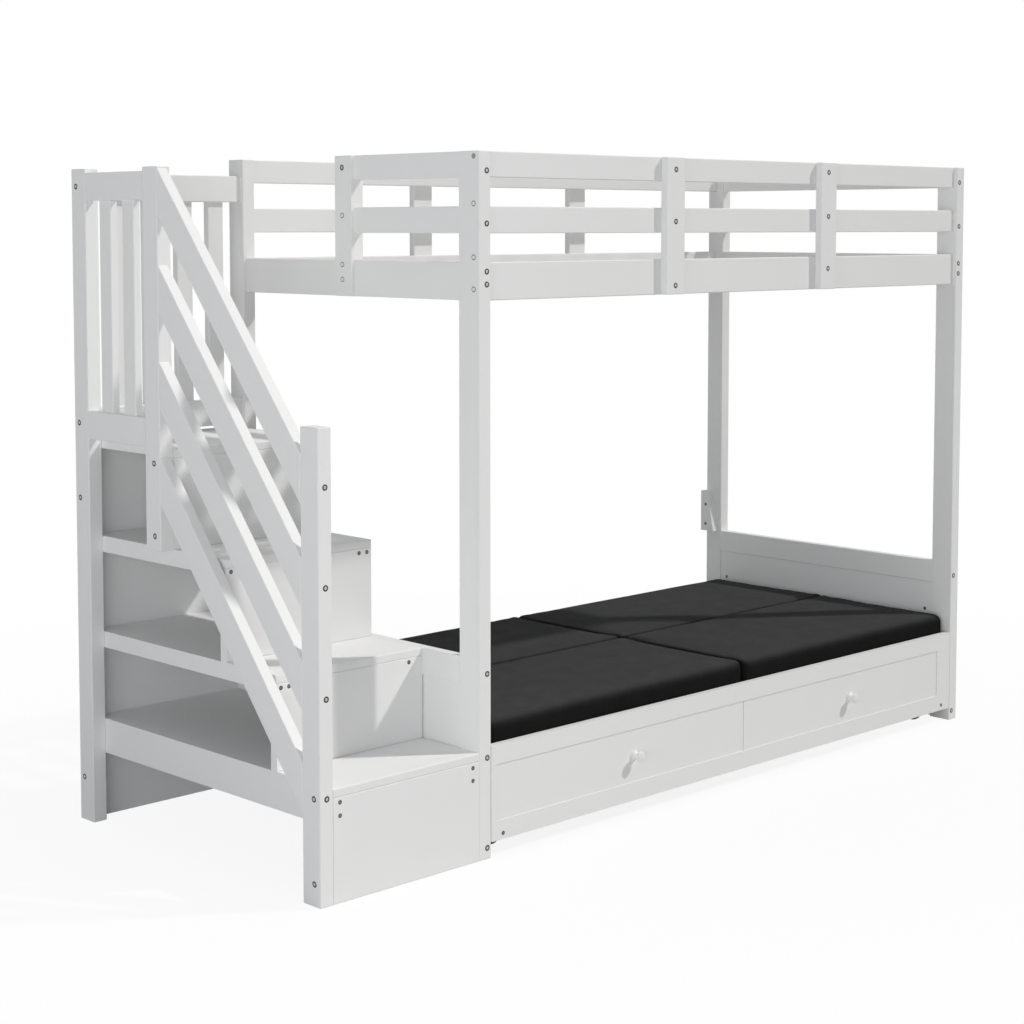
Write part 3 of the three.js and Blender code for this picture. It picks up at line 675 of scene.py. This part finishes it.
def crowned(cover, low, high, row_line):
    """Raises the top towards its middle, and pulls the sides in between the corners."""
    middle = (low + high) / 2
    half = (high - low) / 2
    for vert in cover.data.vertices:
        u = (vert.co.x - middle.x) / half.x
        v = (vert.co.y - middle.y) / half.y
        lift = (vert.co.z - low.z) / (2 * half.z)
        side_in = row_draw_in if v * (row_line - middle.y) > 0 else draw_in
        vert.co.x -= math.copysign(draw_in * (1 - v * v) * abs(u) ** draw_in_powers[0], u)
        vert.co.y -= math.copysign(side_in * (1 - u * u) * abs(v) ** draw_in_powers[1], v)
        vert.co.z += crown * lift * (1 - u ** crown_powers[0]) * (1 - v ** crown_powers[1])


def seam_share(point, low, high):
    """How near a point of the cover is to a seam, from 0 to 1."""
    to_face = min(point.z - low.z, high.z - point.z)
    to_side = min(point.x - low.x, high.x - point.x, point.y - low.y, high.y - point.y)
    return max(0.0, 1 - math.hypot(to_face, to_side) / seam_reach)


def settle(cover, low, high):
    """Lets the slack cover puff up between its seams, and keeps where it comes to rest."""
    start = [vert.co.copy() for vert in cover.data.vertices]
    held = cover.vertex_groups.new(name="seams")
    for index, point in enumerate(start):
        share = seam_share(point, low, high)
        if share > 0:
            held.add([index], min(1.0, seam_hold * share), "REPLACE")
    cloth = cover.modifiers.new("cover", "CLOTH")
    cloth.settings.vertex_group_mass = "seams"
    cloth.settings.quality = 5
    cloth.settings.mass = 0.35
    cloth.settings.tension_stiffness = 22
    cloth.settings.compression_stiffness = 22
    cloth.settings.shear_stiffness = 8
    cloth.settings.bending_stiffness = 0.6
    cloth.settings.shrink_min = -cover_slack
    cloth.settings.use_pressure = True
    cloth.settings.uniform_pressure_force = 4
    cloth.settings.effector_weights.gravity = 0
    cloth.collision_settings.use_self_collision = False
    cloth.point_cache.frame_start = 1
    cloth.point_cache.frame_end = settle_frames
    for number in range(1, settle_frames + 1):
        bpy.context.scene.frame_set(number)
    rested = plain_mesh(cover)
    cover.modifiers.remove(cloth)
    cover.vertex_groups.clear()
    for vert, moved, first in zip(cover.data.vertices, rested.vertices, start):
        step = moved.co - first
        if step.length > cover_travel:
            step *= cover_travel / step.length
        vert.co = first + step
    bpy.context.scene.frame_set(1)


def fill_box(cover, low, high):
    """Brings a settled cover back inside the space that its cushion takes, flat underneath."""
    points = [vert.co for vert in cover.data.vertices]
    now_low = Vector([min(point[k] for point in points) for k in range(3)])
    now_high = Vector([max(point[k] for point in points) for k in range(3)])
    for point in points:
        for k in range(3):
            share = (point[k] - now_low[k]) / (now_high[k] - now_low[k])
            point[k] = low[k] + share * (high[k] - low[k])
        lift = point.z - low.z
        if lift < flat_below:
            point.z = low.z + lift * flat_share


def edge_cord(name, cover, low, high):
    """The cord sewn into the seam round the underside of a cover."""
    line = bpy.data.curves.new(name, "CURVE")
    line.dimensions = "3D"
    line.bevel_depth = seam_radius
    line.bevel_resolution = 2
    bm = bmesh.new()
    bmesh.ops.create_grid(bm, x_segments=1, y_segments=1, size=0.5)
    for vert in bm.verts:
        vert.co = Vector((low.x + (vert.co.x + 0.5) * (high.x - low.x),
                          low.y + (vert.co.y + 0.5) * (high.y - low.y), low.z + seam_in))
    bmesh.ops.bevel(bm, geom=bm.verts[:], offset=corner_round, offset_type="OFFSET",
                    affect="VERTICES", segments=6, profile=0.5, material=-1)
    for edge in [edge for edge in bm.edges if edge.calc_length() > corner_round]:
        bmesh.ops.subdivide_edges(bm, edges=[edge], cuts=int(edge.calc_length() / seam_step))
    bm.faces.ensure_lookup_table()
    ring = [loop.vert.co.copy() for loop in bm.faces[0].loops]
    bm.free()
    cord = line.splines.new("POLY")
    cord.points.add(len(ring) - 1)
    cord.use_cyclic_u = True
    for place, point in zip(cord.points, ring):
        near = cover.closest_point_on_mesh(point)[1]
        place.co = (*near, 1.0)
    shape = bpy.data.objects.new(name, line)
    bpy.context.scene.collection.objects.link(shape)
    bm = bmesh.new()
    bm.from_mesh(plain_mesh(shape))
    bpy.data.objects.remove(shape)
    seal(bm)
    return new_piece(name, bm, smooth=True)


row_line = (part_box("cushion_front_left")[1].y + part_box("cushion_back_left")[0].y) / 2
for corner in corners:
    node = f"cushion_{corner}"
    row, side = corner.split("_")
    rounds = ((outer_round, pair_round) if side == "left" else (pair_round, outer_round),
              (outer_round, row_round) if row == "front" else (row_round, outer_round))
    low, high = (end + pad_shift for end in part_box(node))
    cover = foam_block(f"{node}_cover", low, high, rounds)
    crowned(cover, low, high, row_line)
    settle(cover, low, high)
    fill_box(cover, low, high)
    cover.data.shade_smooth()
    fit(edge_cord(f"{node}_cord", cover, low, high), canvas, "cushion_fabric", "pullout")
    rounder = cover.modifiers.new("rounder", "SUBSURF")
    rounder.levels = 1
    rounder.render_levels = 1
    fit(cover, canvas, "cushion_fabric", "pullout", node)


# Bolts and screws. The posts are drawn together by socket-head bolts sunk into counterbores,
# boards and risers are held by countersunk screws, and spare holes are closed by caps and plugs.
# All of them stand hardly proud of the lacquer; the shade in each counterbore, countersink and plug
# gap is painted as a dark ring.
bolt_line = [(7.2, 0.0), (7.2, 0.20), (6.8, 0.35), (5.4, 0.30), (3.7, 0.12), (3.5, 0.12),
             (3.3, 0.75), (2.9, 0.95), (1.8, 0.95), (1.6, 0.15), (0, 0.15)]
screw_line = [(5.1, 0.0), (5.1, 0.20), (4.7, 0.32), (3.1, 0.30), (2.9, 0.34), (1.2, 0.34),
              (1.0, 0.08), (0, 0.08)]
plug_line = [(6.6, 0.0), (6.6, 0.18), (5.8, 0.12), (4.9, 0.12), (4.8, 0.50), (4.3, 0.70), (0, 0.85)]
# Radii in millimetres beyond which a head's faces take the second finish, a ring of painted shade.
painted_shade_beyond = {"post_bolts": 3.6, "post_plugs": 5.0, "step_screws": 3.0, "front_screws": 3.0,
               "panel_screws": 3.0}
fastener_sides = 20
millimetre = 0.001
shade_mottles_per_metre = 800.0
counterbore_shade_tones = ((0.018, 0.018, 0.018, 1), (0.06, 0.058, 0.055, 1))
wear_per_metre = 700.0
screw_tones = ((0.12, 0.12, 0.12, 1), (0.27, 0.27, 0.265, 1))
haze_per_metre = 300.0
cap_tones = ((0.27, 0.27, 0.27, 1), (0.36, 0.36, 0.355, 1))
outward = {"-x": Vector((-1, 0, 0)), "-y": Vector((0, -1, 0)),
           "+x": Vector((1, 0, 0)), "+y": Vector((0, 1, 0))}


def fasteners(name, line, places, body, finishes, sunk=0.0):
    """Round heads of one kind, turned from a line of radii and heights in millimetres. A place is
    a node, a face, a way along it and a height; sunk is how far back of it the board's face lies."""
    bm = bmesh.new()
    for node, face, along, height in places:
        low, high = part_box(node)
        middle = (low + high) / 2
        out = outward[face]
        half = (high - low) / 2
        across = Vector((abs(out.y), abs(out.x), 0))
        centre = middle + across * (along * millimetre) + out * (abs(half.dot(out)) - sunk)
        centre.z = height
        points = [centre + (Vector((0, 0, r)) + out * h) * millimetre for r, h in line]
        before = set(bm.faces)
        turn(bm, points, centre, out, fastener_sides)
        for part in set(bm.faces) - before:
            away = (part.calc_center_median() - centre).length / millimetre
            # Faces farther out than this radius get the painted shade of the recess round the head.
            part.material_index = 1 if away > painted_shade_beyond.get(name, math.inf) else 0
    seal(bm)
    heads = new_piece(name, bm)
    for finish in finishes:
        heads.data.materials.append(finish)
    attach(heads, body)
    return heads


def in_rows(face, rows):
    """Places on one face, from rows of a node, a way along it and the heights there."""
    return [(node, face, along, height) for node, along, heights in rows for height in heights]


# Painted shade: a near-black ring, mottled a little, stands in for the shade inside counterbores and
# round plugs.
counterbore, shader, where = new_finish("counterbore_shadow", 0.7)
shade_mottle = where.noise(shade_mottles_per_metre, 2.0)
feed(shader, "Base Color", shade_mottle.mixed(*counterbore_shade_tones))
screw_zinc, shader, where = new_finish("screw_zinc", 0.42, 0.85)
worn = where.noise(wear_per_metre, 2.0)
feed(shader, "Base Color", worn.mixed(*screw_tones))
feed(shader, "Roughness", 0.34 + worn * 0.2)
cap_plastic, shader, where = new_finish("grey_cap", 0.5)
haze = where.noise(haze_per_metre, 2.0)
feed(shader, "Base Color", haze.mixed(*cap_tones))

front_bolts = in_rows("-y", (
    ("bed_post_front_left", 6.7, (1.619, 1.497, 1.386, 1.356, 0.443, 0.243, 0.027)),
    ("bed_post_front_right", -5.7, (1.620, 1.490, 1.380, 1.350, 0.440, 0.027)),
    ("stair_post_front", 1.0, (0.927, 0.707, 0.462, 0.241)),
    ("front_guard_board_1", 0.0, (1.6335, 1.5026, 1.3408)),
    ("front_guard_board_2", -2.0, (1.6377, 1.5173, 1.3746))))
side_bolts = in_rows("-x", (
    ("stair_post_rear", 10.0, (1.588, 1.004, 0.817, 0.110)),
    ("stair_post_mid", -6.0, (0.929, 0.755)),
    ("stair_post_front", -10.0, (0.051, 0.241)),
    ("gate_post", 3.5, (1.635,))))
rear_bolts = in_rows("+y", (
    ("back_guard_board_1", 0.0, (1.6335, 1.5026, 1.3408)),
    ("back_guard_board_2", -2.0, (1.6377, 1.5173, 1.3746)),
    ("bed_post_back_right", 5.7, (1.620, 1.490, 1.380, 1.350, 0.440, 0.027)),
    ("bed_post_back_left", -6.7, (1.619, 1.497, 1.386, 1.356)),
    ("stair_post_rear", -6.0, (1.588, 1.004, 0.817, 0.110))))
end_bolts = in_rows("+x", (
    ("bed_post_front_right", -17.0, (1.635, 1.507, 1.383, 1.345)),
    ("bed_post_back_right", 13.0, (1.635, 1.507, 1.383, 1.345))))
fasteners("post_bolts", bolt_line, front_bolts + side_bolts + rear_bolts + end_bolts, "loft",
          (zinc, counterbore))
step_screws = in_rows("-y", (
    ("riser_1", -201.3, (0.227, 0.197)), ("riser_1", 199.7, (0.227, 0.197)),
    ("riser_2", -207.1, (0.450,)), ("riser_2", -184.3, (0.450,)), ("riser_2", 177.7, (0.450,)),
    ("riser_3", -204.6, (0.691,)), ("riser_3", 181.7, (0.691,)), ("riser_3", 206.7, (0.691,))))
step_screws += in_rows("-x", (("wall_block", 6.0, (0.568, 0.503)),))
step_screws += in_rows("+y", (
    ("stair_back_panel", -207.0, (0.03, 0.25, 0.47, 0.71, 0.93)),
    ("stair_back_panel", 0.0, (0.03, 0.25, 0.47, 0.71, 0.93)),
    ("stair_back_panel", 207.0, (0.03, 0.25, 0.47, 0.71, 0.93))))
fasteners("step_screws", screw_line, step_screws, "loft", (screw_zinc, counterbore))
front_screws = in_rows("-y", (
    ("pullout_front", -918.0, (0.052,)), ("pullout_front", 915.0, (0.053,))))
fasteners("front_screws", screw_line, front_screws, "pullout", (screw_zinc, counterbore))
panel_board_face = 1.1999
panel_screws = in_rows("-x", (
    ("end_panel_right", -390.0, (0.329,)), ("end_panel_right", 390.0, (0.329,))))
fasteners("panel_screws", screw_line, panel_screws, "loft", (screw_zinc, counterbore),
          panel_board_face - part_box("end_panel_right")[0].x)
cap_places = in_rows("-x", (("bed_post_front_left", -17.0, (1.652,)),))
fasteners("post_caps", plug_line, cap_places, "loft", (cap_plastic,))
# Lacquered plugs, each with the shade of the gap round it painted as a dark ring.
plug_places = in_rows("-x", (
    ("bed_post_front_left", -17.0, (1.543, 1.419, 1.345)), ("gate_post", 3.5, (1.517, 1.396, 1.359))))
plugs = fasteners("post_plugs", plug_line, plug_places, "loft", (lacquer_z, counterbore))
